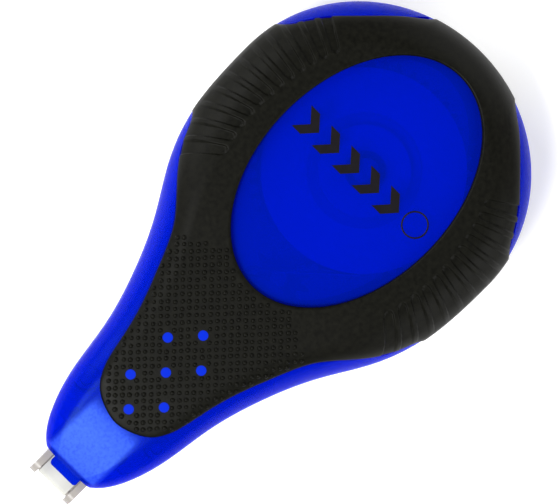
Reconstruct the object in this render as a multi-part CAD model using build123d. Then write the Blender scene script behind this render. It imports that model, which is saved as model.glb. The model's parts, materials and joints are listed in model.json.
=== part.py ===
from build123d import *
import os
from math import acos, atan2, cos, degrees, pi, radians, sin, sqrt, tan

# Correction tape roller: two shells with rubber grips, a supply reel of tape, a geared
# take-up reel, and a clear tip blade that the tape runs over.
# Frame: +X towards the round end (the tip is at -X), +Z out of the front face, origin
# under the middle of the bounding box, on the surface that the rear grip lies on.
# Millimetres throughout.

# ---------------------------------------------------------------- overall sizes
overall_length = 86.6
overall_width = 48.2
overall_thickness = 16.0

# ---------------------------------------------------------------- shells
grip_proud = 0.3
shell_wall = 1.6
nose_wall = 1.3
window_depth = 0.8
tongue_length = 1.2
tongue_width = 4.9
tongue_thickness = 0.9
lip_radius = 0.5

# Stations of the shell form, from the middle of the round end to the nose, as shares of
# half the length, half the width and half the shell depth, with the share of the depth
# that the shoulder's round takes up.
stations = (
    (0.473, 1.000, 1.000, 0.91),
    (0.411, 0.999, 1.000, 0.91),
    (0.328, 0.993, 1.000, 0.91),
    (0.194, 0.962, 1.000, 0.91),
    (0.033, 0.857, 0.987, 0.89),
    (-0.129, 0.685, 0.948, 0.87),
    (-0.314, 0.534, 0.883, 0.82),
    (-0.499, 0.437, 0.805, 0.78),
    (-0.672, 0.387, 0.701, 0.77),
    (-0.803, 0.315, 0.584, 0.76),
    (-0.878, 0.235, 0.468, 0.75),
    (-0.906, 0.181, 0.416, 0.75),
)

# ---------------------------------------------------------------- grips
grip_thickness = 1.3
grip_stop = 1.2
window_place = 0.406
window_length = 40.8
window_width = 27.6
peg_diameter = 1.5
peg_clearance = 0.05
peg_pitch = 7.3
peg_spread = 6.54

# Half outline of the grip in plan, from its rounded nose end to the round end, as
# shares of half the length and half the width. Past 1 it wraps over the side.
grip_outline = (
    (-0.674, 0.112), (-0.643, 0.207), (-0.577, 0.282), (-0.481, 0.324), (-0.351, 0.386),
    (-0.221, 0.477), (-0.092, 0.593), (-0.028, 0.693), (0.037, 0.797), (0.134, 0.901),
    (0.184, 0.943), (0.258, 1.116), (0.536, 1.116), (0.601, 0.943), (0.651, 0.880),
    (0.716, 0.797), (0.781, 0.684), (0.845, 0.569), (0.906, 0.449), (0.943, 0.365),
    (1.033, 0.247),
)

# ---------------------------------------------------------------- tip
tip_rail_width = 1.0
tip_rail_height = 3.6
tip_nose_radius = 1.62
tip_lead = 0.7
tip_edge_radius = 0.55
tip_web = 0.8
tip_shank = 9.2
tip_lug = 1.4
tip_clearance = 0.1

# ---------------------------------------------------------------- tape and reels
tape_width = 5.0
tape_thickness = 0.12
tape_side_gap = 0.25
supply_roll_radius = 14.5
supply_core_radius = 8.1
supply_hub_past_window = 2.0
take_up_core_radius = 4.2
take_up_roll_radius = 5.3
take_up_flange_radius = 7.8
take_up_offset = 3.9
flange_thickness = 0.5
flange_rim = 0.4

# ---------------------------------------------------------------- gears and axles
supply_teeth = 46
idler_teeth = 12
pinion_teeth = 14
gear_thickness = 1.2
pressure_angle = 25.0
backlash = 0.12
tooth_height = 0.9
tooth_depth = 1.2
supply_axle_radius = 1.8
take_up_axle_radius = 1.5
idler_axle_radius = 1.2
guide_axle_radius = 0.8
guide_roller_radius = 1.6
guide_flange_radius = 2.3
clutch_hub_wall = 2.2
boss_wall = 1.1
shoulder_step = 0.7
pin_radius = 0.8
pin_height = 3.0
pin_merge = 1.0
spoke_circle = 10.4
spoke_hole_radius = 2.6
spigot_step = 1.2
sleeve_height = 0.9
socket_depth = 0.8

# ---------------------------------------------------------------- clearances
running = 0.05
play = 0.1
gap = 0.3
reel_clearance = 1.8
tape_gap = 0.2
side_play = 0.2
beyond = 99.0

# ---------------------------------------------------------------- derived places
half_length = overall_length / 2
half_width = overall_width / 2 - grip_proud
shell_half_depth = overall_thickness / 2 - grip_proud
middle = overall_thickness / 2
round_centre = stations[0][0] * half_length
round_length = half_length - grip_proud - round_centre
nose_x = stations[-1][0] * half_length
window_x = window_place * half_length
hub = Vector(window_x + supply_hub_past_window, 0)


def between(x, column):
    """Value of one station column at x, in millimetres, by straight lines."""
    unit = half_width if column == 1 else shell_half_depth
    share = x / half_length
    for near, far in zip(stations, stations[1:]):
        if far[0] <= share <= near[0]:
            part = (share - far[0]) / (near[0] - far[0])
            return unit * (far[column] + part * (near[column] - far[column]))
    return unit * stations[0][column]


def place_for_half_width(wanted):
    """Where along the neck the shell is this wide, found by halving."""
    low, high = nose_x, round_centre
    for _ in range(40):
        trial = (low + high) / 2
        if between(trial, 1) < wanted:
            low = trial
        else:
            high = trial
    return high


take_up_room = take_up_offset + take_up_flange_radius + reel_clearance + shell_wall
take_up = Vector(place_for_half_width(take_up_room), -take_up_offset)
reel_distance = (hub - take_up).length
gear_module = 2 * reel_distance / (supply_teeth + 2 * idler_teeth + pinion_teeth)
to_take_up = (take_up - hub).normalized()
idler = hub + to_take_up * (gear_module * (supply_teeth + idler_teeth) / 2)
train_angle = degrees(atan2(to_take_up.Y, to_take_up.X))

# Heights of the reels' layers above the table.
tape_bottom = middle - tape_width / 2
tape_top = middle + tape_width / 2
flange_bottom = tape_bottom - side_play - flange_thickness
gear_top = flange_bottom - gap
gear_bottom = gear_top - gear_thickness
core_top = tape_top + side_play

# The tape leaves the supply roll along the line that passes between the two reels.
roll_line = supply_roll_radius + tape_gap
flange_line = take_up_flange_radius + 2 * gap
towards_hub = atan2(hub.Y - take_up.Y, hub.X - take_up.X)
line_angle = towards_hub + acos((roll_line + flange_line) / reel_distance)
line_normal = Vector(cos(line_angle), sin(line_angle))
line_along = Vector(-line_normal.Y, line_normal.X)
leave_roll = hub - line_normal * roll_line
guide_line = guide_roller_radius + running + tape_thickness / 2
guide_reach = take_up_flange_radius + guide_flange_radius + 2 * gap
past_take_up = sqrt(guide_reach ** 2 - (flange_line - guide_line) ** 2)
guide = take_up + line_normal * (flange_line - guide_line) + line_along * past_take_up

# The tip's inner end, where the tape comes to lie flat on the blade.
tip_end = -half_length
blade_edge = tip_end + tip_lead
tip_inner = tip_end + tip_shank
tip_half_gap = tape_width / 2 + tape_side_gap
tip_half_width = tip_half_gap + tip_rail_width
tape_lift = tip_edge_radius + running + tape_thickness / 2


# ---------------------------------------------------------------- helpers
def disc(centre, radius, bottom, top):
    return Pos(centre.X, centre.Y, (bottom + top) / 2) * Cylinder(radius, top - bottom)


def tube(centre, inner, outer, bottom, top):
    return disc(centre, outer, bottom, top) - disc(centre, inner, bottom - 1, top + 1)


def block(x0, x1, y0, y1, z0, z1):
    box = Box(x1 - x0, y1 - y0, z1 - z0)
    return Pos((x0 + x1) / 2, (y0 + y1) / 2, (z0 + z1) / 2) * box


def form(inset, nose_inset, last=len(stations)):
    """Solid inside the shells' outer surface by the inset, which may thin to the nose."""
    sections = []
    for number, (share, width, depth, corner) in enumerate(stations[:last]):
        blend = number / (last - 1)
        step = inset * (1 - blend) + nose_inset * blend
        half_y = half_width * width - step
        half_z = shell_half_depth * depth - step
        radius = shell_half_depth * depth * corner - step
        plane = Plane((share * half_length, 0, middle), x_dir=(0, 1, 0), z_dir=(1, 0, 0))
        sections.append(plane * RectangleRounded(2 * half_y, 2 * half_z, radius))
    neck = loft(sections)
    reach = 2 * half_width
    start = Pos(-round_centre, 0, 0) * sections[0]
    profile = start & Pos(0, reach / 2, middle) * Box(1, reach, reach)
    end = revolve(profile, Axis.Z, -180)
    stretch = (round_length - inset) / (half_width - inset)
    return neck + Pos(round_centre, 0, 0) * scale(end, (stretch, 1, 1))


def gear_outline(teeth, phase):
    """Involute gear face about the origin with one tooth centred on the phase angle."""
    pitch = gear_module * teeth / 2
    base = pitch * cos(radians(pressure_angle))
    root = pitch - tooth_depth * gear_module
    tip = pitch + tooth_height * gear_module
    half_tooth = (pi * gear_module / 2 - backlash) / (2 * pitch)
    flank_turn = tan(radians(pressure_angle)) - radians(pressure_angle)
    flank = [(root, half_tooth + flank_turn)]
    for step in range(5):
        radius = max(base, root) + (tip - max(base, root)) * step / 4
        slope = acos(min(1, base / radius))
        flank.append((radius, half_tooth + flank_turn - (tan(slope) - slope)))
    points = []
    for tooth in range(teeth):
        centre = radians(phase) + 2 * pi * tooth / teeth
        points += [(r * cos(centre - a), r * sin(centre - a)) for r, a in flank]
        points += [(r * cos(centre + a), r * sin(centre + a)) for r, a in reversed(flank)]
    return Polygon(*points, align=None)


def gear(centre, teeth, phase):
    face = Pos(centre.X, centre.Y, gear_bottom) * gear_outline(teeth, phase)
    return extrude(face, gear_thickness, dir=(0, 0, 1))


def save(solid, node):
    solid.label = node
    export_step(solid, f"parts/{node}.step")


os.makedirs("parts", exist_ok=True)

# ---------------------------------------------------------------- shells
outer = form(0, 0)
cavity = form(shell_wall, nose_wall, len(stations) - 2)
upper = block(-beyond, beyond, -beyond, beyond, middle, beyond)
lower = block(-beyond, beyond, -beyond, beyond, -beyond, middle)
slot_half_height = tip_rail_height / 2 + tip_clearance
slot_half_width = tip_half_width + tip_clearance
nose_slot = block(
    nose_x - 5,
    tip_inner,
    -slot_half_width,
    slot_half_width,
    middle - slot_half_height,
    middle + slot_half_height,
)

# Grip plan: the outline, with the elliptical window left out.
side = [(x * half_length, y * half_width) for x, y in grip_outline]
other_side = [(x, -y) for x, y in reversed(side)]
nose_end = (-0.688 * half_length, 0)
far_x = 1.1 * half_length
with BuildSketch() as grip_sketch:
    with BuildLine():
        Spline(other_side + [nose_end] + side, tangents=[(-1, -0.6), (1, -0.6)])
        Polyline(side[-1], (far_x, side[-1][1]), (far_x, -side[-1][1]), other_side[0])
    make_face()
grip_face = grip_sketch.sketch
window = Pos(window_x, 0) * Ellipse(window_length / 2, window_width / 2)
sunk = Pos(window_x, 0) * Ellipse(window_length / 2 + gap, window_width / 2 + gap)
grip_prism = extrude(grip_face - window, overall_thickness, dir=(0, 0, 1))

peg_centre = -0.457 * half_length
peg_places = [Vector(peg_centre + step * peg_pitch, 0) for step in (-1, 0, 1)]
for step in (-1, 1):
    for side_sign in (-1, 1):
        peg_x = peg_centre + step * peg_pitch / 2
        peg_places.append(Vector(peg_x, side_sign * peg_spread / 2))

grip_outer = form(-grip_proud, -grip_proud)
grip_inner = form(grip_thickness - grip_proud, grip_thickness - grip_proud)
tongue_half = tongue_width / 2
nose_half_depth = stations[-1][2] * shell_half_depth

# Assembly pins: two beside the neck, two at the round end and two near the nose.
pin_boss = pin_radius + running + boss_wall


def inner_place(x):
    return between(x, 1) - shell_wall - pin_boss


neck_x = -0.04 * half_length
nose_pin_x = -0.66 * half_length
far_angle = radians(29)
far_pin_inset = shell_wall + pin_boss - pin_merge
far_pin_x = round_centre + (round_length - far_pin_inset) * cos(far_angle)
far_pin_y = (half_width - far_pin_inset) * sin(far_angle)
pin_places = []
for side_sign in (-1, 1):
    pin_places.append(Vector(neck_x, side_sign * (inner_place(neck_x) - pin_merge)))
    pin_places.append(Vector(nose_pin_x, side_sign * (inner_place(nose_pin_x) + 1.2 * pin_merge)))
    pin_places.append(Vector(far_pin_x, side_sign * far_pin_y))
# (place, axle radius, height of the shoulder that the turning piece rests on)
long_axles = (
    (hub, supply_axle_radius, gear_bottom - play),
    (take_up, take_up_axle_radius, gear_bottom - play),
    (guide, guide_axle_radius, tape_bottom - gap - flange_thickness - play),
)
axle_top = core_top + flange_thickness + 4 * play + 1.0
boss_bottom = axle_top - socket_depth


def half_shell(half, sign):
    """One shell: hollow form, nose slot, sunk window and grip seat."""
    shell = (outer - cavity) & half
    shell = shell - nose_slot
    window_floor = middle + sign * (shell_half_depth - window_depth)
    far_z = middle + sign * overall_thickness
    low, high = min(window_floor, far_z), max(window_floor, far_z)
    shell = shell - extrude(Pos(0, 0, low) * sunk, high - low, dir=(0, 0, 1))
    tongue = block(nose_x - tongue_length, nose_x + 2, -tongue_half, tongue_half, 0, 1)
    tongue = fillet(tongue.edges().filter_by(Axis.Z).group_by(Axis.X)[0], lip_radius)
    tongue_z = middle + sign * (nose_half_depth - tongue_thickness / 2)
    tongue = Pos(0, 0, tongue_z - 0.5 * tongue_thickness) * scale(tongue, (1, 1, tongue_thickness))
    return shell + tongue


def grip(half, sign):
    """Rubber pad seated in the shell, with holes for the shell's pegs."""
    low = middle + sign * grip_stop
    far_z = middle + sign * overall_thickness
    reach = block(-beyond, beyond, -beyond, beyond, min(low, far_z), max(low, far_z))
    return (grip_prism & half & reach) - grip_inner


front_seat = grip(upper, 1)
rear_seat = grip(lower, -1)

front_grip = front_seat & grip_outer
rear_grip = rear_seat & grip_outer
pegs = [disc(place, peg_diameter / 2, -1, overall_thickness + 1) for place in peg_places]
peg_holes = [
    disc(place, peg_diameter / 2 + peg_clearance, -1, overall_thickness + 1)
    for place in peg_places
]
between_grips = block(-beyond, beyond, -beyond, beyond, middle - grip_stop, middle + grip_stop)
peg_zone = (outer - grip_inner) - between_grips
peg_solids = [peg & peg_zone for peg in pegs]
for hole in peg_holes:
    front_grip = front_grip - hole
    rear_grip = rear_grip - hole

rear_shell = half_shell(lower, -1) - rear_seat
front_shell = half_shell(upper, 1) - front_seat
for peg in peg_solids:
    rear_shell = rear_shell + (peg & lower)
    front_shell = front_shell + (peg & upper)

# Posts, shoulders and pins of the rear shell, kept below the grip's seat.
posts = []
for centre, radius, shoulder_top in long_axles:
    posts.append(disc(centre, radius, 0, axle_top))
    posts.append(disc(centre, radius + shoulder_step, 0, shoulder_top))
posts.append(disc(idler, idler_axle_radius, 0, flange_bottom - play))
posts.append(disc(idler, idler_axle_radius + shoulder_step, 0, gear_bottom - play))
for place in pin_places:
    posts.append(disc(place, pin_boss, 0, middle))
    posts.append(disc(place, pin_radius, 0, middle + pin_height))
for post in posts:
    rear_shell = rear_shell + (post & grip_inner)

# Sockets of the front shell over the same axles and pins.
for centre, radius, _ in long_axles:
    socket = tube(centre, radius + running, radius + boss_wall, boss_bottom, overall_thickness)
    front_shell = front_shell + (socket & grip_inner)
    front_shell = front_shell - disc(centre, radius + running, boss_bottom - 1, axle_top + play)
for place in pin_places:
    front_shell = front_shell + (disc(place, pin_boss, middle, overall_thickness) & grip_inner)
    pin_hole = disc(place, pin_radius + running, middle - 1, middle + pin_height + play)
    front_shell = front_shell - pin_hole

save(rear_shell, "rear_shell")
save(front_shell, "front_shell")
save(rear_grip, "rear_grip")
save(front_grip, "front_grip")

# ---------------------------------------------------------------- tip blade
lug_outer = tip_half_width + tip_lug
tip_head = block(blade_edge + tip_edge_radius, tip_inner, -tip_half_gap, tip_half_gap,
                 middle - tip_web / 2, middle + tip_web / 2)
band = Cylinder(tip_edge_radius, 2 * tip_half_gap, rotation=(90, 0, 0))
tip_head = tip_head + Pos(blade_edge + tip_edge_radius, 0, middle) * band
for side_sign in (-1, 1):
    inner_y, outer_y = sorted((side_sign * tip_half_gap, side_sign * tip_half_width))
    rail = block(tip_end, tip_inner + tip_lug, inner_y, outer_y,
                 middle - tip_rail_height / 2, middle + tip_rail_height / 2)
    rail = fillet(rail.edges().filter_by(Axis.Y).group_by(Axis.X)[0], tip_nose_radius)
    inner_y, outer_y = sorted((side_sign * tip_half_gap, side_sign * lug_outer))
    lug = block(tip_inner + play, tip_inner + tip_lug, inner_y, outer_y,
                middle - tip_rail_height / 2, middle + tip_rail_height / 2)
    tip_head = tip_head + rail + lug
save(tip_head, "tip_head")

# ---------------------------------------------------------------- supply reel
hub_sleeve = supply_axle_radius + running + clutch_hub_wall
sleeve_top = core_top + play + sleeve_height
supply_gear = gear(hub, supply_teeth, train_angle)
supply_gear = supply_gear + disc(hub, hub_sleeve, gear_bottom, sleeve_top)
supply_gear = supply_gear - disc(hub, supply_axle_radius + running, 0, overall_thickness)
for spoke in range(6):
    spoke_place = hub + Vector(spoke_circle, 0).rotate(Axis.Z, 60 * spoke + 30)
    spoke_hole = disc(spoke_place, spoke_hole_radius, gear_bottom - 1, gear_top + 1)
    supply_gear = supply_gear - spoke_hole
save(supply_gear, "supply_gear")
clutch_ring = tube(hub, hub_sleeve + running, supply_core_radius - 1, gear_top, flange_bottom - play)
save(clutch_ring, "clutch_ring")
cap_bottom = core_top + play
clutch_cap = tube(hub, hub_sleeve, supply_core_radius - 1.6, cap_bottom, sleeve_top)
save(clutch_cap, "clutch_cap")
supply_spool = tube(hub, hub_sleeve + running, supply_core_radius, flange_bottom, core_top)
flange = tube(hub, hub_sleeve + running, supply_roll_radius + flange_rim, flange_bottom,
              flange_bottom + flange_thickness)
save(supply_spool + flange, "supply_spool")
supply_roll = tube(hub, supply_core_radius, supply_roll_radius, tape_bottom, tape_top)
save(supply_roll, "supply_tape_roll")

# ---------------------------------------------------------------- idler and take-up reel
# The idler's tooth sits opposite the gap of the supply gear's, and so on down the train.
supply_to_idler = train_angle + 180 + 180 / idler_teeth
idler_gear = gear(idler, idler_teeth, supply_to_idler)
idler_gear = idler_gear - disc(idler, idler_axle_radius + running, 0, overall_thickness)
save(idler_gear, "idler_gear")
# Offset of the idler tooth nearest to the line towards the take-up pinion.
idler_offset = (supply_to_idler - train_angle) % (360 / idler_teeth)
pinion_phase = train_angle + 180 - idler_offset * idler_teeth / pinion_teeth + 180 / pinion_teeth
take_up_spool = gear(take_up, pinion_teeth, pinion_phase)
pinion_root = gear_module * (pinion_teeth / 2 - tooth_depth)
take_up_spool = take_up_spool + disc(take_up, pinion_root, gear_bottom, flange_bottom)
take_up_spool = take_up_spool + disc(take_up, take_up_core_radius, flange_bottom, core_top)
take_up_spool = take_up_spool + disc(take_up, take_up_flange_radius, flange_bottom,
                                     flange_bottom + flange_thickness)
spigot = take_up_core_radius - spigot_step
take_up_spool = take_up_spool + disc(take_up, spigot, core_top, core_top + flange_thickness)
take_up_spool = take_up_spool - disc(take_up, take_up_axle_radius + running, 0, overall_thickness)
save(take_up_spool, "take_up_spool")
take_up_flange = tube(take_up, spigot, take_up_flange_radius, core_top, core_top + flange_thickness)
save(take_up_flange, "take_up_flange")
take_up_roll = tube(take_up, take_up_core_radius, take_up_roll_radius, tape_bottom, tape_top)
save(take_up_roll, "take_up_tape_roll")

# ---------------------------------------------------------------- guide roller
guide_bottom = tape_bottom - gap - flange_thickness
guide_top = tape_top + gap + flange_thickness
guide_roller = disc(guide, guide_roller_radius, guide_bottom, guide_top)
guide_roller = guide_roller + disc(guide, guide_flange_radius, guide_bottom, tape_bottom - gap)
guide_roller = guide_roller + disc(guide, guide_flange_radius, tape_top + gap, guide_top)
guide_roller = guide_roller - disc(guide, guide_axle_radius + running, 0, overall_thickness)
save(guide_roller, "guide_roller")

# ---------------------------------------------------------------- tape between the reels


def strip(start, end):
    """Tape standing on edge between two points in plan."""
    along = end - start
    turn = degrees(atan2(along.Y, along.X))
    slab = Box(along.length, tape_thickness, tape_width)
    centre = (start + end) / 2
    return Pos(centre.X, centre.Y, middle) * Rot(0, 0, turn) * slab


def twisted(start, end, end_lift):
    """Tape that stands on edge at the start and lies flat, lifted, at the end."""
    steps = 8
    run = end - start
    sections = []
    for step in range(steps + 1):
        part = step / steps
        ease = part * part * (3 - 2 * part)
        centre = Vector(start.X + run.X * part, start.Y + run.Y * part, middle + end_lift * ease)
        plane = Plane(centre, x_dir=(0, -sin(pi / 2 * ease), cos(pi / 2 * ease)), z_dir=(-1, 0, 0))
        sections.append(plane * Rectangle(tape_width, tape_thickness))
    return loft(sections)


end_flat = Vector(tip_inner + tip_lug + gap, 0)
guide_tangent = guide + line_normal * guide_line
to_tip = end_flat - guide
tip_turn = atan2(to_tip.Y, to_tip.X) - acos(guide_line / to_tip.length)
leave_guide = guide + Vector(cos(tip_turn), sin(tip_turn)) * guide_line
wrap = tube(guide, guide_line - tape_thickness / 2, guide_line + tape_thickness / 2,
            tape_bottom, tape_top)
wedge_far = 4 * guide_line
wedge = Polygon(
    (guide.X, guide.Y),
    (guide.X + wedge_far * line_normal.X, guide.Y + wedge_far * line_normal.Y),
    (guide.X + wedge_far * cos(tip_turn), guide.Y + wedge_far * sin(tip_turn)),
    align=None,
)
wrap = wrap & extrude(wedge, overall_thickness, dir=(0, 0, 1))

take_up_line = take_up_roll_radius + running + tape_thickness / 2
reach_take_up = take_up + Vector(0, take_up_line)
feed_run = twisted(leave_guide, end_flat, tape_lift)
return_run = twisted(reach_take_up, end_flat, -tape_lift)
edge_centre = blade_edge + tip_edge_radius
half_tape = tape_width / 2
flats = []
for sign in (-1, 1):
    low = middle + sign * tape_lift - tape_thickness / 2
    flats.append(block(edge_centre, end_flat.X, -half_tape, half_tape, low, low + tape_thickness))
bend_outer = Cylinder(tape_lift + tape_thickness / 2, tape_width, rotation=(90, 0, 0))
bend_inner = Cylinder(tape_lift - tape_thickness / 2, tape_width + 2, rotation=(90, 0, 0))
bend = Pos(edge_centre, 0, middle) * (bend_outer - bend_inner)
bend = bend & block(tip_end - beyond, edge_centre, -beyond, beyond, 0, overall_thickness)
tape_run = strip(leave_roll, guide_tangent) + wrap + feed_run
tape_run = tape_run + flats[1] + bend + flats[0] + return_run
save(tape_run, "tape_run")
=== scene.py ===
import json

import bpy
import numpy as np
from mathutils import Matrix, Vector


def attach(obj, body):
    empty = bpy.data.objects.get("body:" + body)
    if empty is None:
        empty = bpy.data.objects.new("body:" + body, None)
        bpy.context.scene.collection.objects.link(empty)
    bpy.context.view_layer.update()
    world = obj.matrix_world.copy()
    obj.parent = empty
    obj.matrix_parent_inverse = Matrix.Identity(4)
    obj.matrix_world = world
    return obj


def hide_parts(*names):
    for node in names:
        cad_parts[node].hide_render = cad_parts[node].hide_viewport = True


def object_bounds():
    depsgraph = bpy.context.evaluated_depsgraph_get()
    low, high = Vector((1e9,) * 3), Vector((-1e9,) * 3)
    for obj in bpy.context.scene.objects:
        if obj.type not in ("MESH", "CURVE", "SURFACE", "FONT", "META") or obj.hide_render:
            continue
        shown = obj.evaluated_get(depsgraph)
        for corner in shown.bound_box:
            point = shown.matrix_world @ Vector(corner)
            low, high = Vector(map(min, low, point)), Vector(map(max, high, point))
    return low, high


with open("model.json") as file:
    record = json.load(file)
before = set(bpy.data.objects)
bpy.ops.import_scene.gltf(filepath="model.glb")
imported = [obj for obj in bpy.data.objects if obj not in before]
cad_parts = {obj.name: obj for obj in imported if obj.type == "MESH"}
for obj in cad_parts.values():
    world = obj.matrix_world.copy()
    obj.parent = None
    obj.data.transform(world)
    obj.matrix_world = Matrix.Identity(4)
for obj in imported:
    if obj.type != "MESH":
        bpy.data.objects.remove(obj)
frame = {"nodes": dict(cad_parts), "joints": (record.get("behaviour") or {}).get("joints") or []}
cad_low, cad_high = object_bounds()
mm = 0.001

# ---- Shells ---------------------------------------------------------------------------
# Two halves moulded in clear blue styrene, glossy outside, that meet at the parting line.
# Light gets through both walls, so the white roll shows faintly in the window. The flats of
# the nose are frosted and less clear than the rest, and their paler blue is a painted highlight.
shell_blue = (0.0, 0.015, 0.46, 1.0)
shell_tint = (0.0, 0.15, 1.0, 1.0)
shell_clear_share = 0.62
# Paler blue of the nose flats: a painted highlight, not a colour of the plastic.
nose_painted_highlight = (0.026, 0.075, 0.70, 1.0)
nose_half_width = 4.3 * mm
nose_start = -38.6 * mm
nose_finish = -29.5 * mm
nose_side_fade = 0.6 * mm
nose_start_fade = 0.3 * mm
nose_finish_fade = 1.5 * mm
shell_grain_size = 2600.0


class Wire:
    """A node's output that adds Math nodes when it is used in arithmetic."""

    def __init__(self, tree, socket=None):
        self.tree = tree
        self.socket = socket

    def make(self, kind, settings, sockets, output=0):
        """A node of this kind: settings first, then the values or links of its sockets."""
        node = self.tree.nodes.new("ShaderNode" + kind)
        for name, value in settings.items():
            if name == "stops":
                ramp = node.color_ramp.elements
                while len(ramp) < len(value):
                    ramp.new(0.5)
                for stop, (place, colour) in zip(ramp, value):
                    stop.position = place
                    stop.color = colour
            else:
                setattr(node, name, value)
        for name, value in sockets.items():
            if isinstance(value, Wire):
                self.tree.links.new(value.socket, node.inputs[name])
            else:
                node.inputs[name].default_value = value
        return Wire(self.tree, node.outputs[output])

    def math(self, operation, first, second=0.0):
        return self.make("Math", {"operation": operation}, {0: first, 1: second})

    def __add__(self, other):
        return self.math("ADD", self, other)

    def __mul__(self, other):
        return self.math("MULTIPLY", self, other)

    def __rsub__(self, other):
        return self.math("SUBTRACT", other, self)

    __radd__ = __add__
    __rmul__ = __mul__


def new_finish(name, constants):
    """A material, its shader node and the Object coordinates as a Wire."""
    material = bpy.data.materials.new(name)
    material.use_nodes = True
    shader = material.node_tree.nodes["Principled BSDF"]
    for socket, value in constants.items():
        shader.inputs[socket].default_value = value
    place = Wire(material.node_tree).make("TexCoord", {}, {}, "Object")
    return material, shader, place


def lead(wire, shader, socket):
    wire.tree.links.new(wire.socket, shader.inputs[socket])


def grain(place, size, detail, height):
    """A bump of fine noise, given as a normal."""
    noise = place.make("TexNoise", {}, {"Vector": place, "Scale": size, "Detail": detail}, "Fac")
    return place.make("Bump", {}, {"Height": noise, "Strength": 1.0, "Distance": height}, 0)


def soft_step(wire, edge, fade):
    """Eased step about the edge: 0 a fade before it and 1 a fade past it."""
    limits = {"Value": wire, "From Min": edge - fade, "From Max": edge + fade}
    return wire.make("MapRange", {"interpolation_type": "SMOOTHSTEP"}, limits)


def dress(node, material):
    """Gives a CAD node its finish."""
    mesh = frame["nodes"][node].data
    mesh.materials.clear()
    mesh.materials.append(material)


shell_gloss = {
    "Base Color": shell_blue,
    "Roughness": 0.22,
    "IOR": 1.50,
    "Specular IOR Level": 0.12,
    "Specular Tint": (0.30, 0.70, 1.0, 1.0),
}
shell_finish, shell_shader, place = new_finish("shell_blue", shell_gloss)
mottle = place.make("TexNoise", {}, {"Vector": place, "Scale": 320.0, "Detail": 3.0}, "Fac")
lead(0.18 + 0.12 * mottle, shell_shader, "Roughness")
lead(grain(place, shell_grain_size, 2.0, 0.0012 * mm), shell_shader, "Normal")
apart = place.make("SeparateXYZ", {}, {0: place}, 0).socket.node.outputs
along, across = Wire(place.tree, apart[0]), Wire(place.tree, apart[1])
speck = place.make("TexNoise", {}, {"Vector": place, "Scale": 2400.0, "Detail": 2.0}, "Fac")
# Mask of the nose flats: real frost that makes them less clear, plus a painted highlight that
# makes them paler.
frost_and_painted_highlight = (
    (0.55 + 0.85 * speck)
    * soft_step(place.math("ABSOLUTE", across), nose_half_width, -nose_side_fade)
    * soft_step(along, nose_start, nose_start_fade)
    * soft_step(along, nose_finish, -nose_finish_fade)
)
# Base colour runs from the shell's blue to the painted highlight on the nose.
shades = [(0.0, shell_blue), (1.0, nose_painted_highlight)]
lead(place.make("ValToRGB", {"stops": shades}, {"Fac": frost_and_painted_highlight}), shell_shader, "Base Color")
clear = place.make("BsdfTransparent", {}, {"Color": shell_tint})
gloss = Wire(place.tree, shell_shader.outputs[0])
clear_share = shell_clear_share * (1.0 - 0.85 * frost_and_painted_highlight)
seen = place.make("MixShader", {}, {0: clear_share, 1: gloss, 2: clear})
output = place.tree.nodes["Material Output"]
place.tree.links.new(seen.socket, output.inputs["Surface"])
dress("front_shell", shell_finish)
dress("rear_shell", shell_finish)

# ---- Grips ----------------------------------------------------------------------------
# Black rubber moulded over each shell: a ring round the window that runs down the neck as
# a thumb pad. Each is one sheet carried round the window, ribbed at both sides, thinner
# towards its outer edge, with rounded edges that tuck into the shell.
half_length = 43.3 * mm
half_width = 23.8 * mm
half_depth = 7.7 * mm
middle = (cad_low.z + cad_high.z) / 2
round_centre = 0.473 * half_length
round_stretch = (half_length - 0.3 * mm - round_centre) / half_width
stations = np.array([
    (0.473, 1.000, 1.000, 0.91),
    (0.411, 0.999, 1.000, 0.91),
    (0.328, 0.993, 1.000, 0.91),
    (0.194, 0.962, 1.000, 0.91),
    (0.033, 0.857, 0.987, 0.89),
    (-0.129, 0.685, 0.948, 0.87),
    (-0.314, 0.534, 0.883, 0.82),
    (-0.499, 0.437, 0.805, 0.78),
    (-0.672, 0.387, 0.701, 0.77),
    (-0.803, 0.315, 0.584, 0.76),
    (-0.878, 0.235, 0.468, 0.75),
    (-0.906, 0.181, 0.416, 0.75),
])[::-1]
grip_outline = np.array([
    (-0.688, 0.000),
    (-0.674, 0.112), (-0.643, 0.207), (-0.577, 0.282), (-0.481, 0.324), (-0.351, 0.386),
    (-0.221, 0.477), (-0.092, 0.593), (-0.028, 0.693), (0.037, 0.797), (0.134, 0.901),
    (0.184, 0.943), (0.258, 1.116), (0.536, 1.116), (0.601, 0.943), (0.651, 0.880),
    (0.716, 0.797), (0.781, 0.684), (0.845, 0.569), (0.906, 0.449), (0.943, 0.365),
    (1.033, 0.247),
])
grip_proud = 0.3 * mm
grip_stop = 1.2 * mm
grip_edge = 0.35 * mm
grip_taper = 2.6 * mm
grip_taper_fall = 0.24 * mm
grip_seam = 0.04 * mm
window_x = 0.406 * half_length
window_half_length = 20.4 * mm
window_half_width = 13.8 * mm
window_floor = half_depth - 0.8 * mm
hub_x = window_x + 2.0 * mm
rib_count = 13
rib_first = np.radians(56.7)
rib_last = np.radians(129.6)
rib_land = 0.62 * mm
rib_depth = 0.30 * mm
rib_start = 3.0 * mm
rib_softness = 0.16 * mm
rib_fade_start = np.radians(40.0)
rib_fade_end = np.radians(66.0)
grip_columns = 1400
outline_end = 1.1
outline_samples = 900
end_samples = 30
grip_rows = 60
edge_rows = 5
outer_foot_depth = 0.5 * mm
inner_foot_depth = 0.05 * mm


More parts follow.
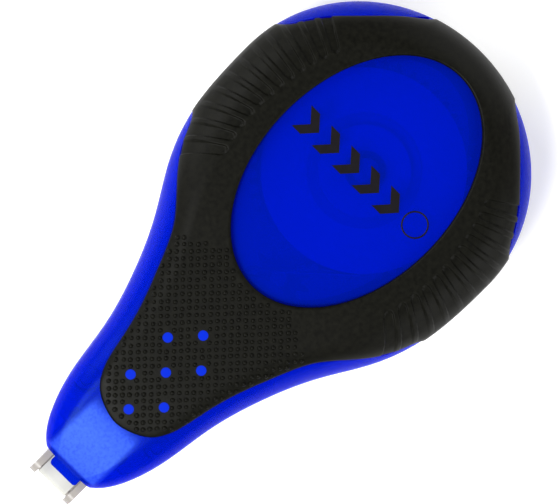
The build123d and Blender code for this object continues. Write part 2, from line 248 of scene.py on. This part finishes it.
def smooth_through(knots, values, at):
    """Natural cubic spline through the knots: second slopes from the usual banded system."""
    gap = np.diff(knots)
    slope = np.diff(values) / gap
    count = len(knots)
    system = np.eye(count)
    right = np.zeros(count)
    inner = np.arange(1, count - 1)
    system[inner, inner - 1] = gap[:-1]
    system[inner, inner] = 2 * (gap[:-1] + gap[1:])
    system[inner, inner + 1] = gap[1:]
    right[1:-1] = 6 * np.diff(slope)
    bend = np.linalg.solve(system, right)
    piece = np.clip(np.searchsorted(knots, at) - 1, 0, count - 2)
    before = at - knots[piece]
    after = knots[piece + 1] - at
    size = gap[piece]
    cubic = (bend[piece] * after ** 3 + bend[piece + 1] * before ** 3) / (6 * size)
    left = (values[piece] / size - bend[piece] * size / 6) * after
    return cubic + left + (values[piece + 1] / size - bend[piece + 1] * size / 6) * before


def section_at(x):
    """Half width, half depth and shoulder radius of the shells at x."""
    share = np.clip(x / half_length, stations[0, 0], stations[-1, 0])
    width = half_width * smooth_through(stations[:, 0], stations[:, 1], share)
    depth = half_depth * smooth_through(stations[:, 0], stations[:, 2], share)
    round_share = smooth_through(stations[:, 0], stations[:, 3], share)
    return width, depth, depth * round_share


def unrolled(x, y):
    """Where a point in plan lies once the shoulder is rolled out flat, as x and y."""
    past = x > round_centre
    width, depth, shoulder = section_at(x)
    u = np.where(past, (x - round_centre) / round_stretch, 0.0)
    out = np.hypot(u, y)
    flat = width - shoulder
    turn = np.arcsin(np.clip((out - flat) / shoulder, 0, 1))
    stop = np.arccos(np.clip((grip_stop - depth + shoulder) / shoulder, -1, 1))
    rolled = np.where(out > flat, flat + shoulder * np.minimum(turn, stop), out)
    scale = rolled / np.maximum(out, 1e-9)
    return np.where(past, round_centre + round_stretch * u * scale, x), y * scale


def skin_turn(x, y):
    """How far round the shoulder an unrolled plan point lies."""
    width, depth, shoulder = section_at(x)
    u = np.maximum(x - round_centre, 0) / round_stretch
    return np.clip((np.hypot(u, y) - width + shoulder) / shoulder, 0, np.pi / 2)


def on_skin(x, y, lift):
    """Point on the shells' outer skin, raised by the lift, over an unrolled plan point.
    Flat in the middle, then a quarter round of the shoulder's radius, then straight down."""
    past = x > round_centre
    width, depth, shoulder = section_at(x)
    u = np.where(past, (x - round_centre) / round_stretch, 0.0)
    out = np.maximum(np.hypot(u, y), 1e-9)
    flat = width - shoulder
    turn = np.clip((out - flat) / shoulder, 0, np.pi / 2)
    reach = np.where(out > flat, flat + (shoulder + lift) * np.sin(turn), out)
    drop = np.maximum(out - flat - shoulder * np.pi / 2, 0)
    z = depth - shoulder + (shoulder + lift) * np.cos(turn) - drop
    px = np.where(past, round_centre + round_stretch * u / out * reach, x)
    return px, y / out * reach, z


def window_edge(angle, margin=0.0):
    """Distance from the window's centre to its elliptical edge, with a margin outside it."""
    a = window_half_length + margin
    b = window_half_width + margin
    return a * b / np.hypot(b * np.cos(angle), a * np.sin(angle))


def rolled_polar(x, y):
    """Angle and distance about the window's centre of an unrolled plan point."""
    ux, uy = unrolled(x, y)
    return np.arctan2(uy, ux - window_x), np.hypot(ux - window_x, uy)


def grip_reach(angle):
    """Distance from the window's centre to the grip's outer edge, on the unrolled plan."""
    mirrored = grip_outline[:0:-1] * (1, -1)
    points = np.concatenate([mirrored, grip_outline]) * (half_length, half_width)
    walk = np.concatenate([[0], np.cumsum(np.hypot(*np.diff(points, axis=0).T))])
    fine = np.linspace(walk[-1] / 2, walk[-1], outline_samples)
    x = smooth_through(walk, points[:, 0], fine)
    y = smooth_through(walk, points[:, 1], fine)
    end_x = np.full(end_samples, outline_end * half_length)
    end_y = np.linspace(points[-1, 1], 0, end_samples)
    theta, distance = rolled_polar(np.append(x, end_x), np.append(y, end_y))
    order = np.argsort(theta)
    return np.interp(np.abs(angle), theta[order], distance[order]) + grip_seam


def rib_groove(x, y):
    """Depth of the grooves between the ribs: each is a slot that points at the hub, with a
    round inner end. Its depth rises smoothly from its edge and fades out over the shoulder."""
    angle = np.abs(np.arctan2(y, x - hub_x))
    out = np.hypot(x - hub_x, y)
    pitch = (rib_last - rib_first) / (rib_count - 1)
    number = np.clip(np.round((angle - rib_first) / pitch - 0.5), 0, rib_count - 2)
    axis = rib_first + (number + 0.5) * pitch
    across = out * np.sin(angle - axis)
    half = (pitch * out - rib_land) / 2
    start = window_edge(angle, rib_start) + half
    along = np.minimum(np.hypot(x - window_x, y) - start, 0)
    inside = half - np.hypot(across, along)
    share = np.clip(inside / rib_softness, 0, 1)
    fade = np.clip((rib_fade_end - skin_turn(x, y)) / (rib_fade_end - rib_fade_start), 0, 1)
    return rib_depth * fade * share * share * (3 - 2 * share)


def edge_round(distance, radius):
    """How far a quarter-round edge has fallen at this distance from the edge."""
    share = np.clip(1 - distance / radius, 0, 1)
    return radius * (1 - np.sqrt(1 - share * share))


def ring_faces(rows, columns):
    """Quads of a grid that closes on itself both ways, like a ring's surface."""
    row = np.arange(rows)[:, None]
    above = (row + 1) % rows
    here = np.arange(columns)[None, :]
    after = (here + 1) % columns
    corners = [
        row * columns + here,
        above * columns + here,
        above * columns + after,
        row * columns + after,
    ]
    return np.stack(corners, axis=-1).reshape(-1, 4)


def new_piece(name, points, faces, material, smooth=True):
    """A piece that stays on the housing, from its points and faces."""
    mesh = bpy.data.meshes.new(name)
    mesh.from_pydata(points.tolist(), [], faces)
    mesh.materials.append(material)
    mesh.polygons.foreach_set("use_smooth", np.full(len(faces), smooth))
    mesh.update()
    piece = bpy.data.objects.new(name, mesh)
    bpy.context.scene.collection.objects.link(piece)
    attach(piece, "housing")
    return piece


def grip_sheet(side):
    """Points and faces of one grip. side is 1 for the front and -1 for the rear."""
    angle = np.linspace(-np.pi, np.pi, grip_columns, endpoint=False)
    inner = window_edge(angle)
    edge_x, edge_y = window_x + inner * np.cos(angle), inner * np.sin(angle)
    inner = rolled_polar(edge_x, edge_y)[1]
    outer = grip_reach(angle)
    ease = np.linspace(0, 1, grip_rows)
    rounded = np.linspace(0, 1, edge_rows, endpoint=False) ** 2 * grip_edge
    span = outer - inner
    middle_rows = inner + grip_edge + ease[:, None] * (span - 2 * grip_edge)
    first_rows = inner + rounded[:, None]
    last_rows = outer - rounded[::-1, None]
    distance = np.concatenate([first_rows, middle_rows, last_rows])
    x = window_x + distance * np.cos(angle)
    y = distance * np.sin(angle)
    fall = edge_round(distance - inner, grip_edge) + edge_round(outer - distance, grip_edge)
    fall += grip_taper_fall * np.clip(1 - (outer - distance) / grip_taper, 0, 1) ** 2
    lift = grip_proud - fall - rib_groove(x, y)
    px, py, pz = on_skin(x, y, lift)
    foot_z = np.full(grip_columns, window_floor - inner_foot_depth)
    inner_foot = np.stack([px[0], py[0], foot_z])
    outer_foot = np.stack(on_skin(x[-1], y[-1], -outer_foot_depth))
    grid = np.stack([px, py, pz], axis=1)
    grid = np.concatenate([inner_foot[None], grid, outer_foot[None]])
    points = grid.transpose(0, 2, 1).reshape(-1, 3)
    points[:, 2] = middle + side * points[:, 2]
    faces = ring_faces(len(grid), grip_columns)
    if side < 0:
        faces = faces[:, ::-1]
    return points, faces


rubber = {"Base Color": (0.006, 0.006, 0.004, 1.0), "Roughness": 0.45, "Specular IOR Level": 0.08}
grip_finish, grip_shader, place = new_finish("grip_rubber", rubber)
fine = place.make("TexNoise", {}, {"Vector": place, "Scale": 1500.0, "Detail": 4.0}, "Fac")
broad = place.make("TexNoise", {}, {"Vector": place, "Scale": 90.0, "Detail": 2.0}, "Fac")
lead(0.34 + 0.18 * fine + 0.06 * broad, grip_shader, "Roughness")
shades = [(0.3, (0.0025, 0.0025, 0.0016, 1.0)), (0.7, (0.0055, 0.0055, 0.0035, 1.0))]
lead(place.make("ValToRGB", {"stops": shades}, {"Fac": fine}), grip_shader, "Base Color")
lead(grain(place, 2200.0, 3.0, 0.012 * mm), grip_shader, "Normal")
for side, node in ((1, "front_grip"), (-1, "rear_grip")):
    points, faces = grip_sheet(side)
    skin = new_piece(node + "_skin", points, faces.tolist(), grip_finish)
    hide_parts(node)

# ---- Nubs and shell pegs --------------------------------------------------------------
# Small round nubs moulded on the thumb pad in staggered rows, a little uneven and larger
# towards the nose, and the seven flat blue pegs of the shell that hold the rubber down.
pad_centre = -19.8 * mm
pad_radius = 19.0 * mm
nub_step = 1.44 * mm
nub_row = 1.35 * mm / 2
nub_radius = 0.34 * mm
nub_height = 0.26 * mm
nub_scatter = 0.07 * mm
nub_sink = 0.05 * mm
nub_edge_room = 0.75 * mm
nub_growth = 0.25
nub_unevenness = 0.1
nub_sides = 10
nub_rings = 3
peg_radius = 0.75 * mm
peg_height = 0.02 * mm
peg_edge = 0.12
peg_sides = 24
peg_rings = 4
peg_pitch = 7.3 * mm
peg_spread = 6.54 * mm
peg_places = np.array([
    (pad_centre - peg_pitch, 0), (pad_centre, 0), (pad_centre + peg_pitch, 0),
    (pad_centre - peg_pitch / 2, peg_spread / 2), (pad_centre - peg_pitch / 2, -peg_spread / 2),
    (pad_centre + peg_pitch / 2, peg_spread / 2), (pad_centre + peg_pitch / 2, -peg_spread / 2),
])


def domes(x, y, radius, height, side, sides, rings, edge=1.0):
    """Round caps on the skin: each ring's distance and height follow a quarter circle, over
    the outer share of the radius given by the edge, and the rest is flat."""
    turn = 2 * np.pi * np.arange(sides) / sides
    slope = np.pi / 2 * np.arange(rings) / rings
    ring_out = 1 - edge * (1 - np.cos(slope)[:, None])
    local_x = (ring_out * np.cos(turn)).ravel()
    local_y = (ring_out * np.sin(turn)).ravel()
    local_z = np.repeat(np.sin(slope), sides)
    local_z[:sides] = 0
    local = np.stack([np.append(local_x, 0), np.append(local_y, 0), np.append(local_z, 1)])
    count = local.shape[1]
    px = x[:, None] + radius[:, None] * local[0]
    py = y[:, None] + radius[:, None] * local[1]
    lift = grip_proud - nub_sink + (height + nub_sink) * local[2]
    skin_x, skin_y, skin_z = on_skin(px, py, np.broadcast_to(lift, px.shape))
    points = np.stack([skin_x, skin_y, middle + side * skin_z], axis=-1).reshape(-1, 3)
    band = np.arange(rings - 1)[:, None] * sides
    here = np.arange(sides)[None, :]
    after = (here + 1) % sides
    next_band = band + sides
    quads = [band + here, band + after, next_band + after, next_band + here]
    quads = np.stack(quads, axis=-1).reshape(-1, 4)
    top = (rings - 1) * sides
    fan = np.stack([top + here[0], top + after[0], np.full(sides, count - 1)], axis=-1)
    foot = here[:, ::-1]
    faces = []
    for part in (quads, fan, foot):
        start = (np.arange(len(x)) * count)[:, None, None]
        wound_part = part[:, ::side]
        faces += (start + wound_part).reshape(-1, part.shape[1]).tolist()
    return points, faces


def nub_places():
    """Staggered grid over the pad, kept inside the grip and clear of window and pegs."""
    row = np.arange(-60, 61)
    column = np.arange(-40, 41)
    x = (column[None, :] + 0.5 * (row[:, None] % 2)) * nub_step + pad_centre
    y = np.broadcast_to(row[:, None] * nub_row, x.shape)
    x, y = x.ravel(), y.ravel()
    angle, distance = np.arctan2(y, x - window_x), np.hypot(x - window_x, y)
    keep = np.hypot(x - pad_centre, y) < pad_radius
    keep &= distance < grip_reach(angle) - nub_edge_room
    keep &= distance > window_edge(angle, nub_edge_room)
    to_peg = np.hypot(x[:, None] - peg_places[:, 0], y[:, None] - peg_places[:, 1]).min(axis=1)
    keep &= to_peg > peg_radius + nub_radius
    return x[keep], y[keep]


peg_gloss = {"Base Color": (0.0, 0.018, 0.48, 1.0), "Roughness": 0.5, "Specular IOR Level": 0.04}
peg_finish, peg_shader, place = new_finish("peg_blue", peg_gloss)
worn = place.make("TexNoise", {}, {"Vector": place, "Scale": 1100.0, "Detail": 2.0}, "Fac")
lead(0.40 + 0.20 * worn, peg_shader, "Roughness")
nub_x, nub_y = nub_places()
towards_nose = np.clip((pad_centre - nub_x) / pad_radius, 0, 1)
scatter = np.random.default_rng(7)
nub_x = nub_x + nub_scatter * scatter.uniform(-1, 1, len(nub_x))
nub_y = nub_y + nub_scatter * scatter.uniform(-1, 1, len(nub_y))
nub_size = nub_radius * (1 + nub_growth * towards_nose)
nub_size *= scatter.uniform(1 - nub_unevenness, 1 + nub_unevenness, len(nub_x))
peg_x, peg_y = peg_places.T
peg_size = np.full(len(peg_places), peg_radius)
for side, node in ((1, "front"), (-1, "rear")):
    points, faces = domes(nub_x, nub_y, nub_size, nub_height, side, nub_sides, nub_rings)
    new_piece(node + "_nubs", points, faces, grip_finish)
    points, faces = domes(peg_x, peg_y, peg_size, peg_height, side, peg_sides, peg_rings, peg_edge)
    new_piece(node + "_pegs", points, faces, peg_finish, smooth=False)

# ---- Printed mark ---------------------------------------------------------------------
# A row of plain chevrons in black ink on the window, pointing the way the roller is
# pulled, with a plain ring after them. The ink stands a hair above the plastic.
mark_x = window_x + 1.1 * mm
mark_y = 2.1 * mm
mark_length = 19.6 * mm
mark_height = 3.9 * mm
mark_count = 5
mark_stroke = 1.7 * mm
mark_point = 0.9
ring_place = (window_x + 1.5 * mm, -10.0 * mm)
ring_outer = 1.95 * mm
ring_inner = 1.72 * mm
ring_sides = 64
ink_low = middle + window_floor - 0.02 * mm
ink_high = middle + window_floor + 0.03 * mm


def inked(outlines):
    """Flat prints: each outline is given a bottom, a top and walls."""
    points, faces = [], []
    for outline in outlines:
        count = len(outline)
        start = len(points)
        points += [(x, y, ink_low) for x, y in outline]
        points += [(x, y, ink_high) for x, y in outline]
        here = np.arange(count)
        after = (here + 1) % count
        walls = np.stack([here, after, after + count, here + count], axis=-1) + start
        faces += walls.tolist()
        faces += [(start + count + here).tolist(), (start + here[::-1]).tolist()]
    return np.array(points), faces


def chevron(number):
    """One chevron: a band of constant stroke folded at its middle."""
    pitch = mark_length / mark_count
    tail = mark_y + mark_length / 2 - number * pitch
    half = mark_height / 2
    nose = tail - half * mark_point
    return [
        (mark_x - half, tail),
        (mark_x, nose),
        (mark_x + half, tail),
        (mark_x + half, tail - mark_stroke),
        (mark_x, nose - mark_stroke),
        (mark_x - half, tail - mark_stroke),
    ][::-1]


def ink_ring():
    """A flat ring of ink: a four-cornered section carried round a circle."""
    turn = np.linspace(0, 2 * np.pi, ring_sides, endpoint=False)
    corners = (
        (ring_inner, ink_low), (ring_inner, ink_high),
        (ring_outer, ink_high), (ring_outer, ink_low),
    )
    grid = []
    for radius, z in corners:
        x = ring_place[0] + radius * np.cos(turn)
        y = ring_place[1] + radius * np.sin(turn)
        grid.append(np.stack([x, y, np.full(ring_sides, z)], axis=-1))
    return np.concatenate(grid), ring_faces(len(corners), ring_sides).tolist()


ink = {"Base Color": (0.005, 0.004, 0.006, 1.0), "Roughness": 0.5, "Specular IOR Level": 0.12}
ink_finish, ink_shader, place = new_finish("print_ink", ink)
speckle = place.make("TexNoise", {}, {"Vector": place, "Scale": 900.0, "Detail": 2.0}, "Fac")
lead(0.35 + 0.25 * speckle, ink_shader, "Roughness")
points, faces = inked([chevron(number) for number in range(mark_count)])
new_piece("window_mark", points, faces, ink_finish, smooth=False)
points, faces = ink_ring()
new_piece("window_ring", points, faces, ink_finish)

# ---- Tip ------------------------------------------------------------------------------
# One clear moulding: a thin blade between two guide rails, slightly frosted where it came
# off the mould, held in the nose by its lugs.
tip_plastic = {
    "Base Color": (0.37, 0.345, 0.32, 1.0),
    "Roughness": 0.22,
    "IOR": 1.49,
    "Transmission Weight": 0.15,
    "Specular IOR Level": 0.25,
}
tip_finish, tip_shader, place = new_finish("tip_clear", tip_plastic)
frost = place.make("TexNoise", {}, {"Vector": place, "Scale": 700.0, "Detail": 3.0}, "Fac")
lead(0.10 + 0.20 * frost, tip_shader, "Roughness")
lead(grain(place, 1200.0, 2.0, 0.01 * mm), tip_shader, "Normal")
dress("tip_head", tip_finish)

# ---- Tape -----------------------------------------------------------------------------
# White coating on a thin carrier film. The wound rolls show their turns as fine rings on
# the flat sides, and the strip between the reels is the same tape.
turn_pitch = 0.12 * mm


def wound(name, colours, centre):
    """Finish of wound tape: rings about the reel's axis, as ripples in colour and height."""
    material, shader, place = new_finish(name, {"Roughness": 0.55})
    offset = {"Vector": place, "Location": (-centre[0], -centre[1], 0.0)}
    local = place.make("Mapping", {}, offset)
    apart = place.make("SeparateXYZ", {}, {0: local}, 0)
    split = apart.socket.node.outputs
    x, y = Wire(place.tree, split[0]), Wire(place.tree, split[1])
    out = place.math("SQRT", x * x + y * y)
    ripple = place.math("SINE", out * (2 * np.pi / turn_pitch))
    stops = list(zip((0.0, 1.0), colours))
    shade = place.make("ValToRGB", {"stops": stops}, {"Fac": 0.5 + 0.5 * ripple})
    lead(shade, shader, "Base Color")
    bump = place.make("Bump", {}, {"Height": ripple, "Strength": 0.6, "Distance": 0.01 * mm}, 0)
    lead(bump, shader, "Normal")
    return material


joint_places = {joint["child"]: joint["pos_m"] for joint in frame["joints"]}
white_tape = wound(
    "wound_white_tape",
    ((0.70, 0.70, 0.68, 1.0), (0.90, 0.90, 0.88, 1.0)),
    joint_places["supply_reel"],
)
dress("supply_tape_roll", white_tape)
used_tape = wound(
    "wound_used_tape",
    ((0.42, 0.44, 0.45, 1.0), (0.62, 0.64, 0.65, 1.0)),
    joint_places["take_up_reel"],
)
dress("take_up_tape_roll", used_tape)
coating = {"Base Color": (0.54, 0.54, 0.50, 1.0), "Roughness": 0.6}
coating_finish, coating_shader, place = new_finish("tape_coating", coating)
chalk = place.make("TexNoise", {}, {"Vector": place, "Scale": 1200.0, "Detail": 4.0}, "Fac")
lead(0.5 + 0.25 * chalk, coating_shader, "Roughness")
lead(grain(place, 1500.0, 3.0, 0.004 * mm), coating_shader, "Normal")
dress("tape_run", coating_finish)

# ---- Reels, gears and clutch ----------------------------------------------------------
# Natural acetal gears, pale moulded spools, and a dark rubber ring that lets the supply
# spool slip on its gear.


def moulded(name, colour, roughness, nodes):
    """Satin moulded plastic with a faint flow mottle, on each of the nodes."""
    base = {"Base Color": colour, "Roughness": roughness}
    material, shader, place = new_finish(name, base)
    flow = place.make("TexNoise", {}, {"Vector": place, "Scale": 160.0, "Detail": 3.0}, "Fac")
    lead(roughness - 0.06 + 0.12 * flow, shader, "Roughness")
    darker = tuple(0.86 * part for part in colour[:3]) + (1.0,)
    stops = [(0.25, darker), (0.75, colour)]
    lead(place.make("ValToRGB", {"stops": stops}, {"Fac": flow}), shader, "Base Color")
    lead(grain(place, 1800.0, 2.0, 0.005 * mm), shader, "Normal")
    for node in nodes:
        dress(node, material)


moulded("gear_acetal", (0.72, 0.73, 0.72, 1.0), 0.38, ("supply_gear", "idler_gear", "clutch_cap"))
spools = ("supply_spool", "take_up_spool", "take_up_flange", "guide_roller")
moulded("spool_plastic", (0.50, 0.54, 0.60, 1.0), 0.34, spools)
moulded("clutch_rubber", (0.02, 0.02, 0.02, 1.0), 0.7, ("clutch_ring",))

# ---- Table, lights and camera ---------------------------------------------------------
# A white table that glows a little, four soft panels and a long lens almost straight above
# the object, whose long axis runs from the lower left to the upper right of the view.
table_size = 4.0
table = bpy.data.meshes.new("table")
corner = table_size / 2
table.from_pydata(
    [(-corner, -corner, 0), (corner, -corner, 0), (corner, corner, 0), (-corner, corner, 0)],
    [],
    [(0, 1, 2, 3)],
)
table_light = {
    "Roughness": 0.9,
    "Emission Color": (1.0, 1.0, 1.0, 1.0),
    "Emission Strength": 0.28,
}
table_finish, table_shader, place = new_finish("table_white", table_light)
table_shader.inputs["Base Color"].default_value = (0.95, 0.95, 0.95, 1.0)
table.materials.append(table_finish)
table_object = bpy.data.objects.new("table", table)
bpy.context.scene.collection.objects.link(table_object)

world = bpy.data.worlds.new("studio")
world.use_nodes = True
world.node_tree.nodes["Background"].inputs["Color"].default_value = (1.0, 1.0, 1.0, 1.0)
world.node_tree.nodes["Background"].inputs["Strength"].default_value = 0.16
bpy.context.scene.world = world
bpy.context.scene.view_settings.view_transform = "Standard"


def panel(name, place, size, power):
    """A square soft light that faces the object."""
    light = bpy.data.lights.new(name, "AREA")
    light.size = size
    light.energy = power
    lamp = bpy.data.objects.new(name, light)
    lamp.location = place
    lamp.rotation_euler = (-Vector(place)).to_track_quat("-Z", "Y").to_euler()
    bpy.context.scene.collection.objects.link(lamp)


panel("key_light", (-0.34, 0.06, 0.52), 0.24, 4.2)
panel("left_light", (-0.05, 0.60, 0.34), 0.40, 3.0)
panel("right_light", (0.10, -0.60, 0.34), 0.40, 2.4)
panel("far_light", (0.60, 0.0, 0.30), 0.40, 1.4)

look_at = Vector((3.2 * mm, 0.35 * mm, 11.0 * mm))
camera_distance = 0.350
camera_lean = np.radians(4.0)
camera_data = bpy.data.cameras.new("camera")
camera_data.lens = 160.7
camera_data.sensor_width = 36.0
camera_data.clip_end = 20.0
camera = bpy.data.objects.new("camera", camera_data)
back = Vector((0.0, np.sin(camera_lean), np.cos(camera_lean)))
up = Vector((1.0, 1.0, 0.0)).normalized()
right = up.cross(back).normalized()
up = back.cross(right)
turn = Matrix((right, up, back)).transposed().to_4x4()
camera.matrix_world = Matrix.Translation(look_at + camera_distance * back) @ turn
bpy.context.scene.collection.objects.link(camera)
bpy.context.scene.camera = camera
